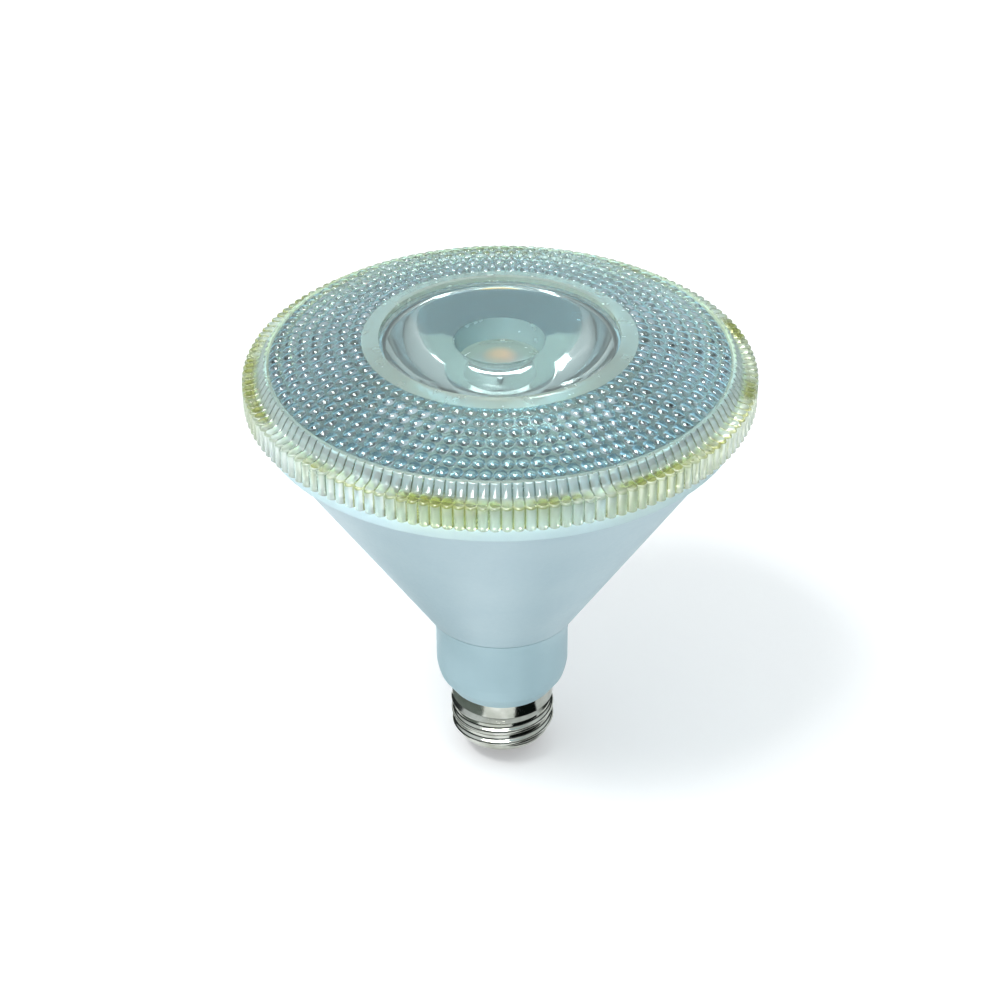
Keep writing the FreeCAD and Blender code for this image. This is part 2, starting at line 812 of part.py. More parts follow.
def drilled_disc(bottom, top):
    """A disc of the light board's size with its screw holes."""
    disc = ring_disc(0, light_board_radius, bottom, top)
    holes = []
    for x, y in screw_places():
        holes.append(rod(screw_radius + close_clearance, (x, y, bottom), (0, 0, 1), top - bottom))
    return disc.cut(holes)


def make_thermal_pad():
    return drilled_disc(sink_floor_z, pad_top_z)


def make_led_board():
    return drilled_disc(pad_top_z, light_board_top_z)


def make_cob_base():
    return block((cob_side, cob_side, cob_thickness), (0, 0, light_board_top_z + cob_thickness / 2))


def make_phosphor_disc():
    return ring_disc(0, phosphor_radius, cob_top_z, emitter_top_z)


def make_board_screws():
    screws = []
    for x, y in screw_places():
        shank = rod(screw_radius, (x, y, light_board_top_z - screw_length), (0, 0, 1), screw_length)
        head = rod(screw_head_radius, (x, y, light_board_top_z), (0, 0, 1), screw_head_height)
        slot_size = (2 * screw_head_radius, screw_slot_width, screw_head_height)
        slot = block(slot_size, (x, y, light_board_top_z + screw_head_height))
        screws.append(shank.fuse(head).cut(slot))
    return Part.makeCompound(screws)


# Driver

def make_driver_board():
    body_size = (2 * board_half_width, board_thickness, board_height)
    tail_size = (2 * board_tail_half_width, board_thickness, board_tail_height)
    body = block(body_size, (0, 0, board_seat_z + board_height / 2))
    tail = block(tail_size, (0, 0, board_seat_z - board_tail_height / 2))
    return body.fuse(tail).removeSplitter()


def on_front(size, across, height):
    """A box that stands on the driver board's front face, from its middle across and its lower edge."""
    return block(size, (across, -board_face - size[1] / 2, height + size[2] / 2))


def on_back(size, across, height):
    """A box that stands on the driver board's back face, from its middle across and its lower edge."""
    return block(size, (across, board_face + size[1] / 2, height + size[2] / 2))


def make_film_capacitor():
    case = on_front(film_capacitor_size, 0, film_capacitor_z)
    edges = [edge for edge in case.Edges if edge.BoundBox.YLength > film_capacitor_size[1] / 2]
    return case.makeFillet(film_capacitor_fillet, edges)


def make_varistor():
    disc = rod(varistor_radius, (0, board_face, varistor_z), (0, 1, 0), varistor_thickness)
    far_edges = [edge for edge in disc.Edges if edge.BoundBox.YMin > board_face + varistor_thickness / 2]
    return disc.makeFillet(varistor_fillet, far_edges)


def make_fuse_resistor():
    middle_y = -board_face - fuse_radius
    start = (0, middle_y, board_bottom_z + fuse_lift)
    return rod(fuse_radius, start, (0, 0, 1), fuse_length)


def make_bridge_rectifier():
    return on_back(bridge_size, 0, bridge_z)


def make_filter_inductor():
    """The drum core: two cheeks with a waist between them."""
    cheek = inductor_height / 5
    waist_length = inductor_height - 2 * cheek
    near = rod(inductor_radius, (0, -board_face, inductor_z), (0, -1, 0), cheek)
    waist_start = (0, -board_face - cheek, inductor_z)
    waist = rod(inductor_radius - inductor_waist, waist_start, (0, -1, 0), waist_length)
    far = rod(inductor_radius, (0, -board_face - cheek - waist_length, inductor_z), (0, -1, 0), cheek)
    return near.fuse([waist, far])


def capacitor_can(radius, length, across):
    """An electrolytic can on the board's front, with its crimped groove near the board and a rolled top."""
    can = rod(radius, (across, -board_face, capacitors_z), (0, -1, 0), length)
    groove_middle = FreeCAD.Vector(across, -board_face - can_groove_place, capacitors_z)
    groove = Part.makeTorus(radius, can_groove_radius, groove_middle, FreeCAD.Vector(0, 1, 0))
    top_edge = [edge for edge in can.Edges if edge.BoundBox.YMax < -length]
    return can.makeFillet(can_fillet, top_edge).cut(groove)


def make_bulk_capacitor():
    return capacitor_can(bulk_capacitor_radius, bulk_capacitor_length, bulk_capacitor_place)


def make_output_capacitor():
    return capacitor_can(output_capacitor_radius, output_capacitor_length, output_capacitor_place)


def make_transformer_core():
    """The square core with its two openings."""
    width, depth, height = core_size
    frame = core_block(width, depth, height, 0)
    openings = []
    for side in (-1, 1):
        across = side * (core_leg + core_window) / 2
        openings.append(core_block(core_window, depth, height - core_leg, across))
    return frame.cut(openings)


def core_block(width, depth, height, across):
    """A box centred on the transformer core, which stands off the driver board by the winding's build."""
    middle_y = -board_face - winding_build - winding_gap - core_size[1] / 2
    return block((width, depth, height), (across, middle_y, core_z + core_size[2] / 2))


def make_transformer_winding():
    """The wound bobbin round the core's middle leg; its back stands on the driver board."""
    width, depth, height = core_size
    wound_width = core_leg + 2 * core_window - 2 * winding_gap
    wound_height = height - core_leg - 2 * winding_gap
    hole_depth = depth + 2 * winding_gap
    outer = core_block(wound_width, hole_depth + 2 * winding_build, wound_height, 0)
    return outer.cut(core_block(core_leg + 2 * winding_gap, hole_depth, wound_height, 0))


def make_switching_transistor():
    return on_back(transistor_size, 0, transistor_z)


def make_controller_chip():
    return on_back(chip_size, chip_place, chip_z)


def make_output_diode():
    return on_back(diode_size, diode_place, diode_z)


# Leads

def light_lead(side):
    """A lead from the driver board, up through the heat sink's hole and in to its pad on the light board."""
    across = side * lead_spread
    start_y = board_face + lead_radius
    pad_y = light_board_radius - lead_pad_inset
    top_z = light_board_top_z + lead_rise_over_board
    return bent_tube(
        [
            (across, start_y, board_top_z - lead_run_on_board),
            (across, start_y, board_top_z - lead_turn_room),
            (across, sink_lead_hole_place, sink_bottom_z - lead_drop_under_sink),
            (across, sink_lead_hole_place, top_z),
            (across, pad_y, top_z),
            (across, pad_y, light_board_top_z),
        ],
        lead_radius,
        lead_bend,
    )


def make_red_lead():
    return light_lead(1)


def make_black_lead():
    return light_lead(-1)


def make_shell_lead():
    """The lead from the driver board's tail, out under the stub to the shell's bore."""
    across = board_tail_half_width - shell_lead_inset
    face_y = board_face + lead_radius
    low_z = insulator_top_z + stub_lift / 2
    far_y = math.sqrt((shell_bore_radius - close_clearance) ** 2 - across ** 2) - lead_radius
    return bent_tube(
        [
            (across, face_y, board_bottom_z + shell_lead_run),
            (across, face_y, low_z),
            (across, far_y, low_z),
        ],
        lead_radius,
        lead_bend,
    )


def make_tip_lead():
    """The lead from the driver board's tail to the rivet of the centre contact."""
    face_y = -board_face - lead_radius
    rivet_top_z = insulator_top_z + rivet_rise
    return bent_tube(
        [
            (tip_lead_place, face_y, board_bottom_z + tip_lead_run),
            (tip_lead_place, face_y, board_bottom_z - tip_lead_drop),
            (0, -lead_radius, rivet_top_z + tip_lead_rise),
            (0, -lead_radius, rivet_top_z),
        ],
        lead_radius,
        lead_bend,
    )


PARTS = {
    "clear_lens": make_clear_lens,
    "rim_bead": make_rim_bead,
    "cone_housing": make_cone_housing,
    "neck_base": make_neck_base,
    "screw_shell": make_screw_shell,
    "cap_insulator": make_cap_insulator,
    "centre_contact": make_centre_contact,
    "heat_sink": make_heat_sink,
    "thermal_pad": make_thermal_pad,
    "led_board": make_led_board,
    "cob_base": make_cob_base,
    "phosphor_disc": make_phosphor_disc,
    "board_screws": make_board_screws,
    "driver_board": make_driver_board,
    "film_capacitor": make_film_capacitor,
    "varistor": make_varistor,
    "fuse_resistor": make_fuse_resistor,
    "bridge_rectifier": make_bridge_rectifier,
    "filter_inductor": make_filter_inductor,
    "bulk_capacitor": make_bulk_capacitor,
    "output_capacitor": make_output_capacitor,
    "transformer_core": make_transformer_core,
    "transformer_winding": make_transformer_winding,
    "switching_transistor": make_switching_transistor,
    "controller_chip": make_controller_chip,
    "output_diode": make_output_diode,
    "red_lead": make_red_lead,
    "black_lead": make_black_lead,
    "shell_lead": make_shell_lead,
    "tip_lead": make_tip_lead,
}

os.makedirs("parts", exist_ok=True)
for name, make in PARTS.items():
    shape = make()
    if not shape.isValid():
        print(name, "is not a valid shape")
    print(name, "solids", len(shape.Solids), "volume", round(shape.Volume, 1))
    shape.exportStep("parts/" + name + ".step")
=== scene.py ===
"""Looks of the par spotlight bulb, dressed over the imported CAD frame.

The lens and the adhesive are written in millimetres, and their meshes are made in metres.
The floor, the cards, the lamps and the camera are written in metres.
"""
import json
import math
import bpy
from mathutils import Matrix, Vector


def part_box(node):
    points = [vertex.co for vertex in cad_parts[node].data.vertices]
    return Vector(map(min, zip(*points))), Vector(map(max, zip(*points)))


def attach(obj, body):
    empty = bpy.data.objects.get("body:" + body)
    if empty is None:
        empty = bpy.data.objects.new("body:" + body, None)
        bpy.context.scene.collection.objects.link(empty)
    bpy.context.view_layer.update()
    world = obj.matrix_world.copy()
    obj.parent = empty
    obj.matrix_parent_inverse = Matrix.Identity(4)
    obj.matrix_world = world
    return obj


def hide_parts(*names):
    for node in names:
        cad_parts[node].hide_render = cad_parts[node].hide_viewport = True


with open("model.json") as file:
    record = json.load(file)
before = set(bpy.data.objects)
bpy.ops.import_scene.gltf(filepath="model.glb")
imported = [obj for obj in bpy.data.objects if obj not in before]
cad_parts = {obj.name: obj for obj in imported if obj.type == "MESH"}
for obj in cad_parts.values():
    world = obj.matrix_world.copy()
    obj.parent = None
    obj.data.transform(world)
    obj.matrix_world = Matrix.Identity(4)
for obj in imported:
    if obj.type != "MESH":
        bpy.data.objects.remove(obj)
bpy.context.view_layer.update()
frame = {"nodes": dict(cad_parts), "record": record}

MM = 0.001
# Turn of the side that faces the camera, where loops start
FRONT = -math.pi / 2


def cad_height(node, end):
    """Height of the lowest (0) or highest (1) point of a CAD node, in millimetres."""
    return round(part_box(node)[end][2] / MM, 3)


# Heights that come from the frame
RIM_TOP_Z = cad_height("cone_housing", 1)
LENS_BOTTOM_Z = cad_height("clear_lens", 0)

# Driving sizes of the lens and the housing's rim, as the CAD model has them
LENS_R = 60.5
FLUTE_PITCH = 2.59
FLUTE_DEPTH = 1.2
SKIRT_WALL = 1.7
SKIRT_OVERLAP = 4.3
SLIDE_CLEARANCE = 0.3
RIM_WALL = 2.7
ADHESIVE_THICKNESS = 0.5
ROOF_THICKNESS = 1.2
LEDGE_WIDTH = 2.7
LEDGE_RISE = 0.45
BEVEL_WIDTH = 1.7
BEVEL_HEIGHT = 2.8
RIB_WIDTH = 0.45
GROOVE_WIDTH = 0.4
DOME_R = 197.0
PLATE = 2.6
TONGUE_WALL = 1.7
TONGUE_DEPTH = 2.8
SMOOTH_RING_R = 32.27
WINDOW_R = 28.2
WINDOW_STEP = 1.5
WELL_R = 10.7
WELL_FLOOR_R = 9.9
WELL_DEPTH = 5.7
WELL_RISE = 2.0
COLLIMATOR_R = 27.4
COLLIMATOR_LAND = 2.4
COLLIMATOR_FOOT_R = 12.4
COLLIMATOR_BULGE = 1.1
CAVITY_R = 8.6
CAVITY_TOP_R = 8.0
CAVITY_DEPTH = 8.4
CAVITY_DROP = 2.2
RINGS = 7
RING_SPACING = 3.12
LENSLET_PITCH = 3.2
BED_DROP = 0.1

# Radii, worked out inwards from the lens's edge
ROOT_R = LENS_R - FLUTE_DEPTH
SKIRT_INNER_R = ROOT_R - SKIRT_WALL
RIM_R = SKIRT_INNER_R - SLIDE_CLEARANCE
RIM_INNER_R = RIM_R - RIM_WALL
TONGUE_R = RIM_INNER_R - SLIDE_CLEARANCE
TONGUE_INNER_R = TONGUE_R - TONGUE_WALL
BEVEL_FOOT_R = ROOT_R - LEDGE_WIDTH
BEVEL_TOP_R = BEVEL_FOOT_R - BEVEL_WIDTH
RIB_CORE_R = BEVEL_TOP_R - RIB_WIDTH
DOME_EDGE_R = RIB_CORE_R - GROOVE_WIDTH
FLUTES = round(math.tau * ROOT_R / FLUTE_PITCH)

# Heights, worked out from the rim of the housing
SKIRT_BOTTOM_Z = RIM_TOP_Z - SKIRT_OVERLAP
ROOF_UNDER_Z = RIM_TOP_Z + ADHESIVE_THICKNESS
SKIRT_TOP_Z = ROOF_UNDER_Z + ROOF_THICKNESS
BEVEL_FOOT_Z = SKIRT_TOP_Z + LEDGE_RISE
BEVEL_TOP_Z = BEVEL_FOOT_Z + BEVEL_HEIGHT
DOME_CENTRE_Z = BEVEL_TOP_Z - math.sqrt(DOME_R ** 2 - DOME_EDGE_R ** 2)

# Lenslets, a little wider and higher than the faceted ones of the CAD lens
LENSLET_R = 1.5
LENSLET_RISE = 0.88
LENSLET_FOOT_REACH = 0.02
LENSLET_FOOT_RISE = 0.06
LENSLET_SHARES = (0.88, 0.62, 0.32)
LAST_RING_MARGIN = 1.6
LAST_RING_R = DOME_EDGE_R - LAST_RING_MARGIN
RING_SEAM = 0.015

# Flutes of the skirt, and the ribs that run on from them over the ledge and the bevel
FLUTE_ROUNDNESS = 0.55
RIB_DEPTH = 0.55
BEVEL_TAPER = BEVEL_TOP_R / BEVEL_FOOT_R
SHOULDER_LIFT = 0.08
LEDGE_LIFT = 0.26
BEVEL_FOOT_LIFT = 0.1
LEDGE_SLOPE_REACH = 1.5
LEDGE_SLOPE_RISE = 0.1

# Roundings of the lens's edges
CHAMFER = 0.2
FILLET = 0.15
EDGE = 0.3
EDGE_CUT = 0.08
STEP_FOOT_CUT = 0.09
WELL_FOOT = 0.25
SHOULDER_REACH = 0.4
SHOULDER_FALL = 0.45
SHOULDER_CUT = 0.12
LEDGE_ROUNDING = 0.12
BEVEL_ROUNDING = 0.15
BEVEL_EDGE = 0.1
SMOOTH_RING_LIP = 0.1

# Groove between the bevel and the dome
GROOVE_DEPTH = 0.4
GROOVE_SHOULDER = 0.3
GROOVE_LIP = 0.06
GROOVE_EDGE = 0.04

# Steps of the meshes
FLUTE_STEPS = 8
ROUND_STEPS = 256
CELL_SIDE_STEPS = 4
CROWN_STEPS = 12
COLLIMATOR_STEPS = 18
ADHESIVE_STEPS = 1440
SMOOTH_RING_MIDDLE_R = 30.0
WINDOW_STRIP = 2.4
WINDOW_STRIPS = 6
PLATE_RADII = (31, 35, 39, 43, 47, 50)
SHARP_ANGLE = 38

# Adhesive on the rim of the housing
ADHESIVE_CLEARANCE = 0.02
RIM_CLEARANCE = 0.03
ADHESIVE_LEAST_INSET = 0.35
ADHESIVE_INSET_SWING = 0.8
SQUEEZE_LEAST_DROP = 0.2
SQUEEZE_DROP_SWING = 1.6
SQUEEZE_HALF = 0.12
SQUEEZE_TIP = 0.1
SQUEEZE_CORNER = 0.2
ADHESIVE_CORNER = 0.05

# Finishes of the lens's faces, each the index of its material
# The net's darker matt colour is painted shade, in the flutes' valleys and between the lenslets
POLISHED, WINDOW, MATT, RIBBED, FROSTED, SKIRT, SHADED_NET = range(7)


def dome_z(r):
    return DOME_CENTRE_Z + math.sqrt(DOME_R ** 2 - r ** 2)


def dome_under_z(r):
    return DOME_CENTRE_Z + math.sqrt((DOME_R - PLATE) ** 2 - r ** 2)


def bed_z(r):
    """Height of the bed between the lenslets."""
    return dome_z(r) - BED_DROP


def linked(name, data):
    """A new object in the scene."""
    obj = bpy.data.objects.new(name, data)
    bpy.context.collection.objects.link(obj)
    return obj


# Meshes

def shifted(loop):
    """The same loop, starting at its second point."""
    return loop[1:] + loop[:1]


class Surface:
    """Points and faces of one mesh. Loops run anticlockwise seen from above."""

    def __init__(self):
        self.points = []
        self.faces = []
        self.finishes = []
        self.finish = POLISHED

    def point(self, r, turn, z):
        self.points.append((r * math.cos(turn), r * math.sin(turn), z))
        return len(self.points) - 1

    def face(self, *corners):
        self.faces.append(corners)
        self.finishes.append(self.finish)

    def ring(self, r, z, count=ROUND_STEPS):
        return [self.point(r, math.tau * k / count + FRONT, z) for k in range(count)]

    def strip(self, first, second):
        """Faces of four corners between two loops of one count."""
        for corners in zip(first, shifted(first), shifted(second), second):
            self.face(*corners)

    def turn(self, index, start):
        """How far round from the start a point lies."""
        x, y, _ = self.points[index]
        # A point at the start itself counts as 0, not as a full turn
        tiny = 1e-9
        return (math.atan2(y, x) - start + tiny) % math.tau - tiny

    def zipper(self, first, second):
        """Triangles between two loops that differ in count."""
        start = self.turn(first[0], 0.0)
        turns = [self.turn(index, start) for index in second]
        low = turns.index(min(turns))
        second = second[low:] + second[:low]
        first_turns = [self.turn(index, start) for index in first] + [math.tau]
        second_turns = turns[low:] + turns[:low] + [math.tau + turns[low]]
        i = j = 0
        while i < len(first) or j < len(second):
            here, there = first[i % len(first)], second[j % len(second)]
            if j >= len(second) or (i < len(first) and first_turns[i + 1] <= second_turns[j + 1]):
                i += 1
                self.face(here, first[i % len(first)], there)
            else:
                j += 1
                self.face(here, second[j % len(second)], there)

    def fan(self, loop, centre, facing_up=True):
        """Triangles from a loop to one point."""
        for here, there in zip(loop, shifted(loop)):
            if facing_up:
                self.face(here, there, centre)
            else:
                self.face(there, here, centre)

    def profile(self, loop, places, finish):
        """Carries a loop on through more radii and heights of the section."""
        self.finish = finish
        for r, z in places:
            after = self.ring(r, z, len(loop))
            self.strip(loop, after)
            loop = after
        return loop

    def build(self, name):
        mesh = bpy.data.meshes.new(name)
        mesh.from_pydata([(x * MM, y * MM, z * MM) for x, y, z in self.points], [], self.faces)
        mesh.polygons.foreach_set("material_index", self.finishes)
        mesh.shade_smooth()
        mesh.set_sharp_from_angle(angle=math.radians(SHARP_ANGLE))
        mesh.update()
        return linked(name, mesh)


def arc_places(start, middle, end, steps):
    """Points along the arc through three section points, without its start."""
    (x1, y1), (x2, y2), (x3, y3) = start, middle, end
    across = 2 * (x1 * (y2 - y3) + x2 * (y3 - y1) + x3 * (y1 - y2))
    s1, s2, s3 = x1 * x1 + y1 * y1, x2 * x2 + y2 * y2, x3 * x3 + y3 * y3
    centre_x = (s1 * (y2 - y3) + s2 * (y3 - y1) + s3 * (y1 - y2)) / across
    centre_y = (s1 * (x3 - x2) + s2 * (x1 - x3) + s3 * (x2 - x1)) / across
    radius = math.hypot(x1 - centre_x, y1 - centre_y)
    first = math.atan2(y1 - centre_y, x1 - centre_x)
    last = math.atan2(y3 - centre_y, x3 - centre_x)
    sweep = (last - first + math.pi) % math.tau - math.pi
    turns = [first + sweep * k / steps for k in range(1, steps + 1)]
    return [(centre_x + radius * math.cos(turn), centre_y + radius * math.sin(turn)) for turn in turns]


def crown_height(r, rise, here):
    """Height of a round crown of radius r above its edge, at a smaller radius."""
    sphere = (r * r + rise * rise) / (2 * rise)
    return math.sqrt(sphere ** 2 - here ** 2) - (sphere - rise)


def crown(r, edge_z, rise):
    """A round crown from its edge to the axis, without either end. A negative rise makes it hang."""
    radii = [r * (1 - k / CROWN_STEPS) for k in range(1, CROWN_STEPS)]
    return [(here, edge_z + math.copysign(crown_height(r, abs(rise), here), rise)) for here in radii]


# Lens

def flute_places():
    """Turn and share of the flute's depth for each point of the fluted outline."""
    places = []
    for k in range(FLUTES * FLUTE_STEPS):
        share = (k % FLUTE_STEPS) / FLUTE_STEPS
        swing = math.pi * share
        shift = (0.5 - share - 0.5 * math.cos(swing)) * math.tau / FLUTES * FLUTE_ROUNDNESS
        places.append((math.tau * k / (FLUTES * FLUTE_STEPS) + FRONT + shift, math.sin(swing)))
    return places


def add_fluted_side(surface):
    """The fluted skirt, shoulder, ledge and ribbed bevel. Returns the lowest and the highest loop."""
    places = flute_places()

    def fluted_loop(root, depth, z, lift):
        return [surface.point(root + depth * share, turn, z + lift * share) for turn, share in places]

    # Radius of the valleys, depth of the flutes, height of the valleys, the crests' rise over them, finish
    section = (
        (ROOT_R, FLUTE_DEPTH, SKIRT_BOTTOM_Z + CHAMFER, 0.0, SKIRT),
        (ROOT_R, FLUTE_DEPTH, SKIRT_TOP_Z - SHOULDER_FALL, 0.0, SKIRT),
        (ROOT_R - SHOULDER_CUT, FLUTE_DEPTH * 0.95, SKIRT_TOP_Z - SHOULDER_CUT, 0.0, MATT),
        (ROOT_R - SHOULDER_REACH, FLUTE_DEPTH * 0.85, SKIRT_TOP_Z, SHOULDER_LIFT, MATT),
        (ROOT_R - LEDGE_SLOPE_REACH, FLUTE_DEPTH * 0.6, SKIRT_TOP_Z + LEDGE_SLOPE_RISE, LEDGE_LIFT, RIBBED),
        (BEVEL_FOOT_R + LEDGE_ROUNDING, RIB_DEPTH, BEVEL_FOOT_Z - BEVEL_EDGE, LEDGE_LIFT, RIBBED),
        (BEVEL_FOOT_R - BEVEL_ROUNDING, RIB_DEPTH, BEVEL_FOOT_Z + CHAMFER, BEVEL_FOOT_LIFT, RIBBED),
        (BEVEL_TOP_R + BEVEL_EDGE, RIB_DEPTH * BEVEL_TAPER, BEVEL_TOP_Z - CHAMFER, 0.0, RIBBED),
        (BEVEL_TOP_R - BEVEL_ROUNDING, RIB_DEPTH * BEVEL_TAPER, BEVEL_TOP_Z, 0.0, RIBBED),
    )
    lowest = loop = fluted_loop(ROOT_R - CHAMFER, FLUTE_DEPTH, SKIRT_BOTTOM_Z, 0.0)
    for root, depth, z, lift, finish in section:
        after = fluted_loop(root, depth, z, lift)
        first_face = len(surface.faces)
        surface.finish = finish
        surface.strip(loop, after)
        # Beside the valleys the faces get the net's darker finish, painted shade in the creases
        if finish != MATT:
            shade_valleys(surface, first_face)
        loop = after
    return lowest, loop


def shade_valleys(surface, first_face):
    """Gives the first and the last face of each flute, beside its valleys, the darker finish of the net, as
    painted shade in the valleys.
    """
    for flute in range(FLUTES):
        here = first_face + flute * FLUTE_STEPS
        surface.finishes[here] = surface.finishes[here + FLUTE_STEPS - 1] = SHADED_NET


def add_groove(surface, loop):
    """The groove between the bevel and the dome."""
    return surface.profile(loop, [
        (RIB_CORE_R + GROOVE_LIP, BEVEL_TOP_Z),
        (RIB_CORE_R - EDGE_CUT, BEVEL_TOP_Z - GROOVE_SHOULDER),
        ((RIB_CORE_R + DOME_EDGE_R) / 2, BEVEL_TOP_Z - GROOVE_DEPTH),
        (DOME_EDGE_R + EDGE_CUT, BEVEL_TOP_Z - GROOVE_SHOULDER),
        (DOME_EDGE_R - GROOVE_EDGE, BEVEL_TOP_Z - BED_DROP),
    ], MATT)


def add_lenslet(surface, outline, middle, turn):
    """One round lenslet in its cell, whose outline starts at the first of its two inner corners."""
    reaches = [LENSLET_R * share for share in LENSLET_SHARES]
    section = [(LENSLET_R + LENSLET_FOOT_REACH, 0.0), (LENSLET_R, LENSLET_FOOT_RISE)]
    section += [(reach, crown_height(LENSLET_R, LENSLET_RISE, reach)) for reach in reaches]
    corner_angle, step_angle = 225, 360 / len(outline)
    # The bed round the lenslet gets the net's darker finish, painted shade between the lenslets
    surface.finish = SHADED_NET
    for reach, rise in section:
        circle = []
        for k in range(len(outline)):
            angle = math.radians(corner_angle + step_angle * k)
            r = middle + reach * math.cos(angle)
            circle.append(surface.point(r, turn + reach * math.sin(angle) / r, bed_z(r) + rise))
        surface.strip(outline, circle)
        surface.finish = POLISHED
        outline = circle
    surface.fan(outline, surface.point(middle, turn, bed_z(middle) + LENSLET_RISE))


def add_lenslet_ring(surface, number):
    """One ring of cells with lenslets, numbered from the innermost. Returns its outer and inner loops."""
    middle = LAST_RING_R - (RINGS - 1 - number) * RING_SPACING
    count = round(math.tau * middle / LENSLET_PITCH)
    step = math.tau / count
    start = FRONT + (number % 2) * step / 2 - step / 2
    low = middle - RING_SPACING / 2 + RING_SEAM
    high = middle + RING_SPACING / 2 - RING_SEAM
    between = [low + (high - low) * k / CELL_SIDE_STEPS for k in range(1, CELL_SIDE_STEPS)]
    inner, outer, sides = [], [], []
    for k in range(CELL_SIDE_STEPS * count):
        turn = start + k * step / CELL_SIDE_STEPS
        inner.append(surface.point(low, turn, bed_z(low)))
        outer.append(surface.point(high, turn, bed_z(high)))
    for cell in range(count):
        sides.append([surface.point(r, start + cell * step, bed_z(r)) for r in between])
    for cell in range(count):
        after = (cell + 1) % count
        here, there = CELL_SIDE_STEPS * cell, CELL_SIDE_STEPS * after
        outline = [inner[here], *sides[cell], *outer[here:here + CELL_SIDE_STEPS]]
        outline += [outer[there], *reversed(sides[after]), inner[there]]
        outline += reversed(inner[here + 1:here + CELL_SIDE_STEPS])
        add_lenslet(surface, outline, middle, start + (cell + 0.5) * step)
    return outer, inner


def add_lenslet_rings(surface, loop):
    """The dome's rings of lenslets, from the outermost inwards."""
    for number in reversed(range(RINGS)):
        outer, inner = add_lenslet_ring(surface, number)
        surface.finish = SHADED_NET
        surface.zipper(loop, outer)
        loop = inner
    return loop


def add_window_and_well(surface, loop):
    """The smooth ring, the step down to the flat window, and the well with its crowned floor."""
    smooth = surface.ring(SMOOTH_RING_R, dome_z(SMOOTH_RING_R))
    surface.finish = MATT
    surface.zipper(loop, smooth)
    window_z = dome_z(WINDOW_R) - WINDOW_STEP
    floor_z = window_z - WELL_DEPTH
    radii = (SMOOTH_RING_R - SMOOTH_RING_LIP, SMOOTH_RING_MIDDLE_R, WINDOW_R + EDGE)
    loop = surface.profile(smooth, [(r, dome_z(r)) for r in radii], MATT)
    loop = surface.profile(loop, [
        (WINDOW_R + EDGE_CUT, dome_z(WINDOW_R) - EDGE_CUT),
        (WINDOW_R, dome_z(WINDOW_R) - EDGE),
        (WINDOW_R, window_z + EDGE),
    ], MATT)
    loop = surface.profile(loop, [
        (WINDOW_R - STEP_FOOT_CUT, window_z + STEP_FOOT_CUT),
        (WINDOW_R - EDGE, window_z),
        *((WINDOW_R - k * WINDOW_STRIP, window_z) for k in range(1, WINDOW_STRIPS + 1)),
        (WELL_R + EDGE, window_z),
        (WELL_R + EDGE_CUT, window_z - EDGE_CUT),
    ], WINDOW)
    loop = surface.profile(loop, [
        (WELL_R, window_z - EDGE),
        ((WELL_R + WELL_FLOOR_R) / 2, (window_z + floor_z) / 2),
        (WELL_FLOOR_R, floor_z + WELL_FOOT),
        *crown(WELL_FLOOR_R, floor_z, WELL_RISE),
    ], FROSTED)
    surface.fan(loop, surface.point(0, 0, floor_z + WELL_RISE))


def add_underside(surface, lowest):
    """The lens from below: cavity over the emitter, collimator body, dome, tongue and inside of the skirt."""
    cavity_top_z = LENS_BOTTOM_Z + CAVITY_DEPTH
    collimator_top_z = dome_under_z(COLLIMATOR_R) - COLLIMATOR_LAND
    wall_middle = ((COLLIMATOR_R + COLLIMATOR_FOOT_R) / 2 + COLLIMATOR_BULGE,
                   (collimator_top_z + LENS_BOTTOM_Z) / 2 - COLLIMATOR_BULGE)
    tongue_z = ROOF_UNDER_Z - TONGUE_DEPTH
    ceiling = crown(CAVITY_TOP_R, cavity_top_z, -CAVITY_DROP)[::-1]
    plate_radii = (COLLIMATOR_R + EDGE, *PLATE_RADII, TONGUE_INNER_R)
    surface.finish = POLISHED
    loop = surface.ring(*ceiling[0])
    surface.fan(loop, surface.point(0, 0, cavity_top_z - CAVITY_DROP), facing_up=False)
    loop = surface.profile(loop, [
        *ceiling[1:],
        (CAVITY_TOP_R, cavity_top_z),
        ((CAVITY_TOP_R + CAVITY_R) / 2, (cavity_top_z + LENS_BOTTOM_Z) / 2),
        (CAVITY_R, LENS_BOTTOM_Z),
        (COLLIMATOR_FOOT_R, LENS_BOTTOM_Z),
        *arc_places((COLLIMATOR_FOOT_R, LENS_BOTTOM_Z), wall_middle, (COLLIMATOR_R, collimator_top_z),
                    COLLIMATOR_STEPS),
        (COLLIMATOR_R, dome_under_z(COLLIMATOR_R) - EDGE),
        *((r, dome_under_z(r)) for r in plate_radii),
        (TONGUE_INNER_R, tongue_z + CHAMFER),
        (TONGUE_INNER_R + CHAMFER, tongue_z),
        (TONGUE_R - CHAMFER, tongue_z),
        (TONGUE_R, tongue_z + CHAMFER),
        (TONGUE_R, ROOF_UNDER_Z - FILLET),
        (TONGUE_R + FILLET, ROOF_UNDER_Z),
        (SKIRT_INNER_R - FILLET, ROOF_UNDER_Z),
        (SKIRT_INNER_R, ROOF_UNDER_Z - FILLET),
        (SKIRT_INNER_R, SKIRT_BOTTOM_Z + CHAMFER),
        (SKIRT_INNER_R + CHAMFER, SKIRT_BOTTOM_Z),
    ], POLISHED)
    surface.zipper(loop, lowest)


def make_lens():
    """The clear moulding: up the skirt, in to the middle of the well, and from the cavity out again."""
    surface = Surface()
    lowest, loop = add_fluted_side(surface)
    loop = add_groove(surface, loop)
    loop = add_lenslet_rings(surface, loop)
    add_window_and_well(surface, loop)
    add_underside(surface, lowest)
    return surface.build("clear_lens_moulding")


# Adhesive

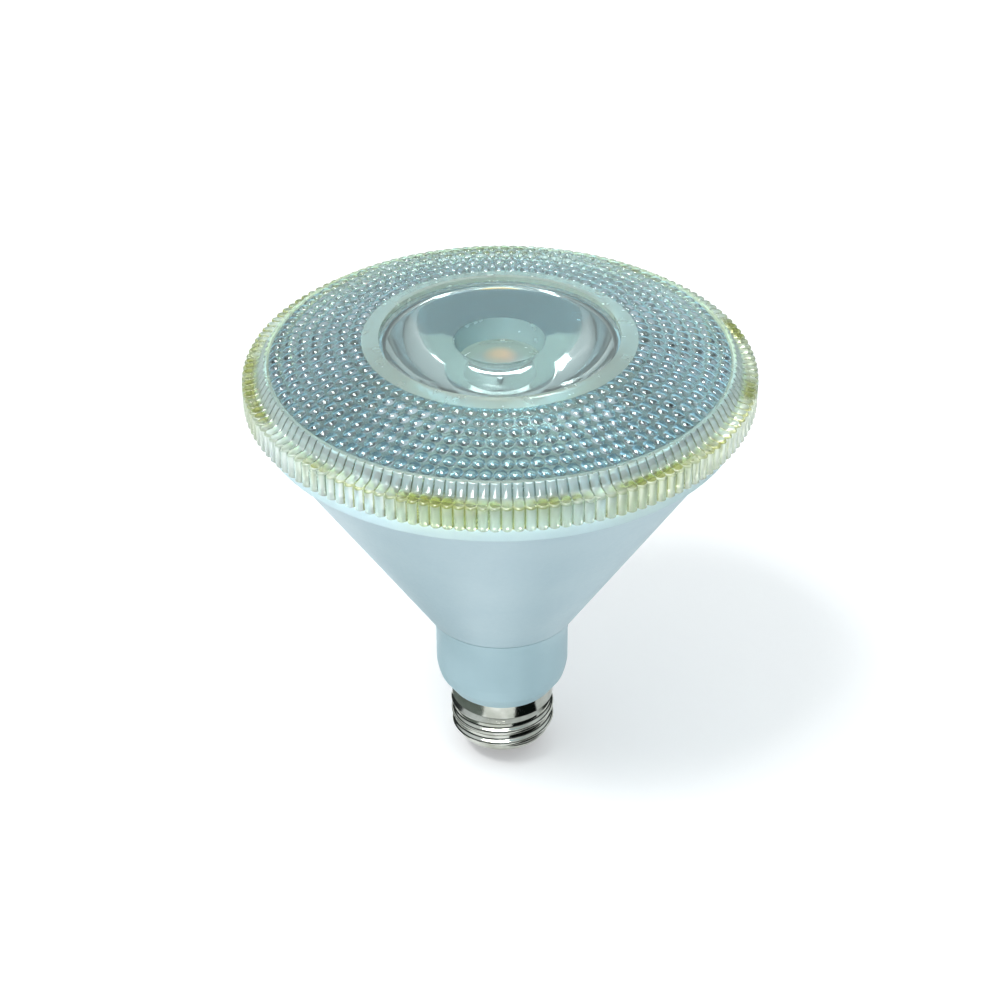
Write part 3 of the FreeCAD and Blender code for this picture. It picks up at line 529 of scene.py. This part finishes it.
def uneven(turn):
    """A share from 0 to 1 that wanders round the rim and comes back to its start."""
    # Waves round the rim, phase and size of each
    waves = ((3, 0.7, 0.9), (7, 2.1, 0.7), (13, 4.4, 0.8), (29, 1.3, 0.7), (53, 5.2, 0.6), (97, 3.3, 0.5))
    swing = sum(size * math.sin(count * turn + phase) for count, phase, size in waves)
    largest_swing = sum(size for _, _, size in waves)
    return min(max(0.5 + swing / largest_swing, 0.0), 1.0)


def adhesive_outline(turn):
    """Section of the adhesive at one place on the rim, with its squeeze-out in the gap beside the skirt."""
    gap_r = (RIM_R + SKIRT_INNER_R) / 2
    low, high = RIM_TOP_Z + ADHESIVE_CLEARANCE, ROOF_UNDER_Z - ADHESIVE_CLEARANCE
    end = RIM_TOP_Z - SQUEEZE_LEAST_DROP - SQUEEZE_DROP_SWING * uneven(turn) ** 4
    inside = RIM_INNER_R + ADHESIVE_LEAST_INSET + ADHESIVE_INSET_SWING * uneven(turn + 1.0)
    return (
        (inside, low),
        (RIM_R + RIM_CLEARANCE, low),
        (gap_r - SQUEEZE_HALF, end + SQUEEZE_TIP),
        (gap_r, end),
        (gap_r + SQUEEZE_HALF, end + SQUEEZE_TIP),
        (gap_r + SQUEEZE_HALF, high - SQUEEZE_CORNER),
        (gap_r - ADHESIVE_CORNER, high),
        (inside - ADHESIVE_CORNER, high),
    )


def make_adhesive():
    """The uneven adhesive ring on the housing's rim."""
    surface = Surface()
    turns = [math.tau * k / ADHESIVE_STEPS for k in range(ADHESIVE_STEPS)]
    outlines = [adhesive_outline(turn) for turn in turns]
    loops = [[surface.point(r, turn, z) for turn, (r, z) in zip(turns, places)] for places in zip(*outlines)]
    for first, second in zip(loops, shifted(loops)):
        surface.strip(first, second)
    return surface.build("adhesive_ring")


# Materials

WHITE = (1, 1, 1, 1)
CLEAR_PLASTIC_IOR = 1.49
# Where most values of a noise texture lie
NOISE_LOW, NOISE_HIGH = 0.3, 0.7


class Nodes:
    """Short calls for one material's nodes."""

    def __init__(self, name):
        self.material = bpy.data.materials.new(name)
        self.material.use_nodes = True
        self.tree = self.material.node_tree
        self.shader = self.tree.nodes["Principled BSDF"]
        self.place = self.add("ShaderNodeTexCoord").outputs["Object"]

    def add(self, kind, **values):
        node = self.tree.nodes.new(kind)
        for key, value in values.items():
            setattr(node, key, value)
        return node

    def link(self, source, target):
        self.tree.links.new(source, target)

    def feed(self, socket, value):
        """Links another node's output to a socket, or sets its number or colour."""
        if isinstance(value, bpy.types.NodeSocket):
            self.link(value, socket)
        else:
            socket.default_value = value

    def set(self, **values):
        """Sets the shader's own sockets, whose names have spaces for underscores."""
        for key, value in values.items():
            self.shader.inputs[key.replace("_", " ")].default_value = value

    def noise(self, scale, detail=3.0, place=None):
        node = self.add("ShaderNodeTexNoise")
        node.inputs["Scale"].default_value = scale
        node.inputs["Detail"].default_value = detail
        self.link(place or self.place, node.inputs["Vector"])
        return node.outputs["Fac"]

    def remap(self, value, low, high, to_low, to_high):
        node = self.add("ShaderNodeMapRange")
        for key, number in (("From Min", low), ("From Max", high), ("To Min", to_low), ("To Max", to_high)):
            node.inputs[key].default_value = number
        self.link(value, node.inputs["Value"])
        return node.outputs["Result"]

    def mix(self, factor, first, second):
        node = self.add("ShaderNodeMix", data_type="RGBA")
        # The colour sockets of this node share their names with its number and vector sockets
        for socket, value in ((node.inputs[0], factor), (node.inputs[6], first), (node.inputs[7], second)):
            self.feed(socket, value)
        return node.outputs[2]

    def math(self, operation, first, second):
        node = self.add("ShaderNodeMath", operation=operation)
        for socket, value in zip(node.inputs, (first, second)):
            self.feed(socket, value)
        return node.outputs[0]

    def radius(self):
        """Distance from the lamp's axis, in metres."""
        flat = self.add("ShaderNodeVectorMath", operation="MULTIPLY")
        flat.inputs[1].default_value = (1, 1, 0)
        self.link(self.place, flat.inputs[0])
        length = self.add("ShaderNodeVectorMath", operation="LENGTH")
        self.link(flat.outputs["Vector"], length.inputs[0])
        return length.outputs["Value"]

    def height(self):
        """Height above the centre contact, in metres."""
        split = self.add("ShaderNodeSeparateXYZ")
        self.link(self.place, split.inputs[0])
        return split.outputs["Z"]

    def colour(self, value):
        self.link(value, self.shader.inputs["Base Color"])

    def roughness(self, value, low, high):
        self.link(self.remap(value, NOISE_LOW, NOISE_HIGH, low, high), self.shader.inputs["Roughness"])

    def bump(self, value, distance, strength):
        """Bumps of a depth in millimetres."""
        node = self.add("ShaderNodeBump")
        node.inputs["Strength"].default_value = strength
        node.inputs["Distance"].default_value = distance * MM
        self.link(value, node.inputs["Height"])
        self.link(node.outputs["Normal"], self.shader.inputs["Normal"])


def linear(red, green, blue):
    """A linear colour from an 8-bit screen colour."""
    def one(value):
        value /= 255
        return value / 12.92 if value <= 0.04045 else ((value + 0.055) / 1.055) ** 2.4
    return (one(red), one(green), one(blue), 1.0)


def plastic(name, colour, shade, smooth, rough):
    """Moulded plastic: slight cloudy colour variation and a fine satin grain."""
    nodes = Nodes(name)
    cloud = nodes.remap(nodes.noise(60.0, 4.0), 0.35, 0.65, 0.0, 1.0)
    nodes.colour(nodes.mix(cloud, linear(*shade), linear(*colour)))
    nodes.roughness(nodes.noise(900.0, 2.0), smooth, rough)
    nodes.bump(nodes.noise(2600.0, 2.0), 0.02, 0.6)
    return nodes.material


def metal(name, colour, shade, smooth, rough, stretch=(1, 1, 1)):
    """Bare or plated metal with cloudy tarnish and fine marks, finer along an axis by its stretch."""
    nodes = Nodes(name)
    cloud = nodes.remap(nodes.noise(160.0, 5.0), 0.4, 0.62, 0.0, 1.0)
    nodes.colour(nodes.mix(cloud, linear(*shade), linear(*colour)))
    stretched = nodes.add("ShaderNodeMapping")
    stretched.inputs["Scale"].default_value = stretch
    nodes.link(nodes.place, stretched.inputs["Vector"])
    marks = nodes.noise(1500.0, 3.0, stretched.outputs["Vector"])
    nodes.roughness(marks, smooth, rough)
    nodes.bump(marks, 0.012, 0.5)
    nodes.set(Metallic=1.0)
    return nodes.material


def lens_plastic(name, transmission, smooth, rough, clear=(220, 240, 245), aged=(206, 212, 150)):
    """Clear plastic, faintly blue, yellowed in patches toward the rim."""
    nodes = Nodes(name)
    rim = nodes.remap(nodes.radius(), 56.0 * MM, 58.0 * MM, 0.0, 1.0)
    patches = nodes.remap(nodes.noise(60.0, 5.0), 0.36, 0.58, 0.05, 1.0)
    nodes.colour(nodes.mix(nodes.math("MULTIPLY", rim, patches), linear(*clear), linear(*aged)))
    nodes.roughness(nodes.noise(240.0, 4.0), smooth, rough)
    nodes.bump(nodes.noise(420.0, 3.0), 0.03, 0.35)
    nodes.set(IOR=CLEAR_PLASTIC_IOR, Transmission_Weight=transmission)
    return nodes.material


def matt_lens_plastic(name, transmission, body_colour=(188, 202, 188)):
    """Eroded, faintly frosted plastic, yellowed in patches at the rim, with a painted warm glow over the
    emitter.
    """
    nodes = Nodes(name)
    radius = nodes.radius()
    rim = nodes.remap(radius, 54.5 * MM, 57.5 * MM, 0.0, 1.0)
    patches = nodes.remap(nodes.noise(42.0, 5.0), 0.36, 0.60, 0.1, 1.0)
    body = nodes.mix(nodes.math("MULTIPLY", rim, patches), linear(*body_colour), linear(176, 180, 98))
    # Painted glow: a warm tint near the axis stands for the emitter seen through the plastic
    glow = nodes.remap(radius, 1.2 * MM, 4.4 * MM, 0.42, 0.0)
    nodes.colour(nodes.mix(glow, body, linear(246, 208, 150)))
    nodes.roughness(nodes.noise(240.0, 4.0), 0.16, 0.3)
    nodes.bump(nodes.noise(900.0, 3.0), 0.03, 0.5)
    nodes.set(IOR=CLEAR_PLASTIC_IOR, Transmission_Weight=transmission)
    return nodes.material


def heat_sink_with_painted_shade(name):
    """Heat sink: a dark floor and paler walls, darkened as painted shade inside the lamp, and a bare machined
    seat round the light board.
    """
    nodes = Nodes(name)
    wall = nodes.remap(nodes.height(), 94.1 * MM, 96.0 * MM, 0.0, 1.0)
    seat = nodes.remap(nodes.radius(), 23.0 * MM, 23.4 * MM, 1.0, 0.0)
    cloud = nodes.remap(nodes.noise(90.0, 4.0), 0.35, 0.65, 0.0, 0.5)
    # Painted shade: the floor's and the walls' dark colours stand for the shade inside the lamp, darkest on
    # the floor
    dark = nodes.mix(cloud, linear(50, 76, 84), linear(64, 88, 94))
    dark = nodes.mix(wall, dark, linear(116, 144, 156))
    nodes.colour(nodes.mix(seat, dark, linear(122, 138, 136)))
    nodes.roughness(nodes.noise(700.0, 3.0), 0.35, 0.5)
    nodes.bump(nodes.noise(900.0, 2.0), 0.012, 0.5)
    return nodes.material


def adhesive(name):
    """Cured adhesive: olive yellow in lumps, paler between them."""
    nodes = Nodes(name)
    lumps = nodes.remap(nodes.noise(150.0, 4.0), 0.36, 0.6, 0.0, 1.0)
    nodes.colour(nodes.mix(lumps, linear(206, 216, 198), linear(172, 182, 140)))
    nodes.roughness(nodes.noise(500.0, 2.0), 0.3, 0.5)
    nodes.bump(nodes.noise(260.0, 3.0), 0.2, 0.8)
    nodes.set(Subsurface_Weight=0.1, Subsurface_Scale=1.0 * MM)
    return nodes.material


def circuit_board(name):
    """Green circuit board with fine darker tracks, on its upright faces."""
    nodes = Nodes(name)
    upright = nodes.add("ShaderNodeMapping")
    upright.inputs["Rotation"].default_value = (math.pi / 2, 0, 0)
    nodes.link(nodes.place, upright.inputs["Vector"])
    tracks = nodes.add("ShaderNodeTexBrick")
    tracks.inputs["Scale"].default_value = 160.0
    tracks.inputs["Mortar Size"].default_value = 0.06
    for key, colour in (("Color1", (24, 98, 56)), ("Color2", (30, 112, 64)), ("Mortar", (18, 78, 44))):
        tracks.inputs[key].default_value = linear(*colour)
    nodes.link(upright.outputs["Vector"], tracks.inputs["Vector"])
    nodes.colour(tracks.outputs["Color"])
    nodes.roughness(nodes.noise(300.0, 3.0), 0.3, 0.5)
    nodes.bump(nodes.noise(900.0, 2.0), 0.03, 0.5)
    return nodes.material


def wound_tape(name):
    """Yellow tape or film in fine turns along Z."""
    nodes = Nodes(name)
    wave = nodes.add("ShaderNodeTexWave", bands_direction="Z")
    wave.inputs["Scale"].default_value = 300.0
    wave.inputs["Distortion"].default_value = 1.5
    nodes.link(nodes.place, wave.inputs["Vector"])
    nodes.colour(nodes.mix(wave.outputs["Fac"], linear(204, 164, 40), linear(226, 188, 58)))
    nodes.roughness(nodes.noise(300.0, 3.0), 0.3, 0.5)
    nodes.bump(wave.outputs["Fac"], 0.06, 0.6)
    return nodes.material


# Colour, darker clouds in it, and least and most roughness
PLASTICS = {
    "white_plastic": ((186, 209, 216), (181, 205, 213), 0.38, 0.5),
    "neck_plastic": ((181, 210, 218), (176, 206, 214), 0.38, 0.5),
    "black_insulator": ((22, 22, 24), (14, 14, 15), 0.15, 0.25),
    "grey_rubber": ((126, 130, 134), (112, 116, 120), 0.6, 0.8),
    # The light board's grey is painted shade, for the shadow the lens doesn't throw on it
    "white_solder_mask": ((122, 136, 130), (112, 126, 120), 0.3, 0.45),
    "white_ceramic": ((236, 236, 230), (226, 226, 220), 0.5, 0.65),
    "phosphor": ((250, 188, 84), (244, 172, 64), 0.35, 0.5),
    "blue_coating": ((46, 84, 156), (36, 70, 136), 0.3, 0.45),
    "black_plastic": ((30, 30, 31), (22, 22, 23), 0.45, 0.6),
    "ferrite": ((58, 58, 61), (44, 44, 47), 0.55, 0.7),
    "black_sleeve": ((34, 34, 40), (24, 24, 29), 0.3, 0.42),
    "red_sleeve": ((190, 34, 28), (168, 26, 22), 0.3, 0.42),
    "white_sleeve": ((232, 232, 226), (220, 220, 214), 0.35, 0.5),
}

# The same for metals. The nickel's marks are stretched round the cap.
METALS = {
    "nickel": ((204, 206, 198), (172, 174, 164), 0.07, 0.16, (1, 1, 6)),
    "contact_metal": ((200, 196, 186), (170, 165, 150), 0.2, 0.35),
    "screw_steel": ((190, 192, 196), (160, 162, 166), 0.25, 0.4),
}


def slot_materials():
    """The material of each slot of the record."""
    made = {name: plastic(name, *look) for name, look in PLASTICS.items()}
    made.update((name, metal(name, *look)) for name, look in METALS.items())
    made["clear_plastic"] = lens_plastic("clear_plastic", 1.0, 0.015, 0.05)
    made["adhesive"] = adhesive("adhesive")
    # The heat sink's dark colours are painted shade inside the lamp
    made["aluminium"] = heat_sink_with_painted_shade("aluminium")
    made["green_board"] = circuit_board("green_board")
    made["yellow_plastic"] = wound_tape("yellow_plastic")
    return made


def lens_materials(polished):
    """The lens's materials, in the order of its finishes."""
    finishes = {
        POLISHED: polished,
        WINDOW: lens_plastic("clear_plastic_window", 0.84, 0.05, 0.11, (182, 202, 200)),
        MATT: matt_lens_plastic("clear_plastic_matt", 0.62),
        RIBBED: lens_plastic("clear_plastic_ribbed", 0.6, 0.03, 0.08, (214, 231, 226), (130, 138, 62)),
        FROSTED: matt_lens_plastic("clear_plastic_frosted", 0.45, (152, 170, 162)),
        SKIRT: lens_plastic("clear_plastic_skirt", 0.66, 0.03, 0.08, (230, 240, 240), (212, 222, 200)),
        # Darker matt plastic, painted shade in the valleys and between the lenslets
        SHADED_NET: matt_lens_plastic("clear_plastic_shaded_net", 0.75, (148, 170, 162)),
    }
    return [finishes[index] for index in sorted(finishes)]


# The dressed lamp

materials = slot_materials()
slots = {part["node"]: part["material_slot"] for part in frame["record"]["subparts"]}
for node, obj in frame["nodes"].items():
    obj.data.materials.clear()
    obj.data.materials.append(materials[slots[node]])

lens = make_lens()
for material in lens_materials(materials["clear_plastic"]):
    lens.data.materials.append(material)
# Clear plastic hardly throws a shadow, and the parts under it need the light
lens.visible_shadow = False
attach(lens, "root")
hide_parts("clear_lens")

ring = make_adhesive()
ring.data.materials.append(materials["adhesive"])
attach(ring, "root")
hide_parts("rim_bead")


# Floor, light and camera

FLOOR_SIDE = 12.0
FLOOR_DROP = 0.0002
FLOOR_GLOW = 0.3
HORIZON_GLOW = 0.4
HORIZON_START = 0.5
HORIZON_END = 1.5
SURROUND_R = 0.6
SURROUND_HEIGHT = 0.3
SURROUND_STEPS = 96
CARD_LIFT = 0.0002
LAMP_AIM = (0, 0, 0.08)

# Camera fitted to the ellipses of the photograph's lens, window, seam and neck
CAMERA_PLACE = (0.000003, -0.4825, 0.39337)
CAMERA_SENSOR = 36.0
CAMERA_LENS = 85.58
CAMERA_PAN = 0.000515
CAMERA_TILT = 0.98624
CAMERA_ROLL = -0.00788


def rectangle(name, width, depth):
    x, y = width / 2, depth / 2
    mesh = bpy.data.meshes.new(name)
    mesh.from_pydata([(-x, -y, 0), (x, -y, 0), (x, y, 0), (-x, y, 0)], [], [(0, 1, 2, 3)])
    return mesh


def make_floor():
    """A pale floor that glows a little where it is seen, straight or by a clear or glossy surface."""
    mesh = rectangle("floor", FLOOR_SIDE, FLOOR_SIDE)
    obj = linked("floor", mesh)
    obj.location.z = -FLOOR_DROP
    nodes = Nodes("pale_floor")
    cloud = nodes.remap(nodes.noise(3.0), NOISE_LOW, NOISE_HIGH, 0.0, 1.0)
    nodes.colour(nodes.mix(cloud, (0.80, 0.80, 0.80, 1), (0.82, 0.82, 0.82, 1)))
    nodes.set(Roughness=0.9, Emission_Color=WHITE)
    rays = nodes.add("ShaderNodeLightPath").outputs
    seen = nodes.math("MAXIMUM", rays["Is Camera Ray"], rays["Is Transmission Ray"])
    seen = nodes.math("MAXIMUM", seen, rays["Is Glossy Ray"])
    # Far off it turns as white as the world behind it
    distance = nodes.remap(nodes.radius(), HORIZON_START, HORIZON_END, 0.0, HORIZON_GLOW)
    far = nodes.math("MULTIPLY", rays["Is Camera Ray"], distance)
    glow = nodes.math("ADD", nodes.math("MULTIPLY", seen, FLOOR_GLOW), far)
    nodes.link(glow, nodes.shader.inputs["Emission Strength"])
    mesh.materials.append(nodes.material)


def show_in_reflections(mesh, colour):
    """Puts a mesh on the stage that only glossy surfaces see."""
    obj = linked(mesh.name, mesh)
    nodes = Nodes(mesh.name)
    darker = tuple(0.9 * channel for channel in colour)
    cloud = nodes.remap(nodes.noise(30.0), NOISE_LOW, NOISE_HIGH, 0.0, 1.0)
    nodes.colour(nodes.mix(cloud, (*colour, 1), (*darker, 1)))
    nodes.set(Roughness=0.9, Specular_IOR_Level=0.0)
    mesh.materials.append(nodes.material)
    for way in ("camera", "diffuse", "transmission", "shadow", "volume_scatter"):
        setattr(obj, "visible_" + way, False)
    return obj


def make_surround():
    """A low dark wall round the floor."""
    turns = [math.tau * k / SURROUND_STEPS for k in range(SURROUND_STEPS)]
    circle = [(SURROUND_R * math.cos(turn), SURROUND_R * math.sin(turn)) for turn in turns]
    points = [(x, y, z) for z in (0, SURROUND_HEIGHT) for x, y in circle]
    low = list(range(SURROUND_STEPS))
    high = [k + SURROUND_STEPS for k in low]
    mesh = bpy.data.meshes.new("surround")
    mesh.from_pydata(points, [], list(zip(low, shifted(low), shifted(high), high)))
    show_in_reflections(mesh, (0.03, 0.035, 0.035))


def make_card(name, place, size, colour, turn=0):
    """A card on the floor, as in studio shots of metal."""
    obj = show_in_reflections(rectangle(name, *size), colour)
    obj.location = (*place, CARD_LIFT)
    obj.rotation_euler.z = math.radians(-turn)


def make_world():
    """White for the camera, and for light and reflections a soft studio that darkens to the horizon."""
    world = bpy.data.worlds.new("studio")
    world.use_nodes = True
    tree = world.node_tree
    studio = tree.nodes["Background"]
    studio.inputs["Color"].default_value = (0.91, 0.97, 1.0, 1)
    place = tree.nodes.new("ShaderNodeTexCoord")
    split = tree.nodes.new("ShaderNodeSeparateXYZ")
    level = tree.nodes.new("ShaderNodeMapRange")
    for key, number in (("From Min", 0.05), ("From Max", 0.9), ("To Min", 0.36), ("To Max", 0.95)):
        level.inputs[key].default_value = number
    tree.links.new(place.outputs["Generated"], split.inputs[0])
    tree.links.new(split.outputs["Z"], level.inputs["Value"])
    tree.links.new(level.outputs["Result"], studio.inputs["Strength"])
    backdrop = tree.nodes.new("ShaderNodeBackground")
    backdrop.inputs["Color"].default_value = WHITE
    backdrop.inputs["Strength"].default_value = 1.0
    rays = tree.nodes.new("ShaderNodeLightPath")
    mix = tree.nodes.new("ShaderNodeMixShader")
    tree.links.new(rays.outputs["Is Camera Ray"], mix.inputs[0])
    tree.links.new(studio.outputs[0], mix.inputs[1])
    tree.links.new(backdrop.outputs[0], mix.inputs[2])
    tree.links.new(mix.outputs[0], tree.nodes["World Output"].inputs["Surface"])
    bpy.context.scene.world = world


def make_lamp(name, place, size, power):
    """A rectangular soft lamp that points at the bulb."""
    light = bpy.data.lights.new(name, "AREA")
    light.shape = "RECTANGLE"
    light.size, light.size_y = size
    light.energy = power
    obj = linked(name, light)
    obj.location = place
    obj.rotation_euler = (Vector(LAMP_AIM) - Vector(place)).to_track_quat("-Z", "Y").to_euler()
    return obj


def make_camera():
    camera = bpy.data.cameras.new("camera")
    camera.sensor_width = CAMERA_SENSOR
    camera.lens = CAMERA_LENS
    camera.clip_start = 0.01
    obj = linked("camera", camera)
    aim = Matrix.Rotation(CAMERA_PAN, 4, "Z") @ Matrix.Rotation(CAMERA_TILT, 4, "X")
    aim = aim @ Matrix.Rotation(CAMERA_ROLL, 4, "Z")
    obj.matrix_world = Matrix.Translation(CAMERA_PLACE) @ aim
    bpy.context.scene.camera = obj


make_floor()
make_world()
make_lamp("key_light", place=(-0.4, -0.33, 1.08), size=(0.4, 0.3), power=9.0)
glint_light = make_lamp("glint_light", place=(-0.14, -0.5, 1.05), size=(0.5, 0.32), power=14.0)
# This lamp only shows in the glossy and clear parts
glint_light.visible_diffuse = False
make_surround()
make_card("dark_card", place=(0.031, -0.031), size=(0.056, 0.026), colour=(0.006, 0.008, 0.007), turn=44)
make_card("grey_card", place=(-0.045, 0.0), size=(0.05, 0.06), colour=(0.16, 0.18, 0.165))
make_camera()
bpy.context.scene.view_settings.view_transform = "Standard"
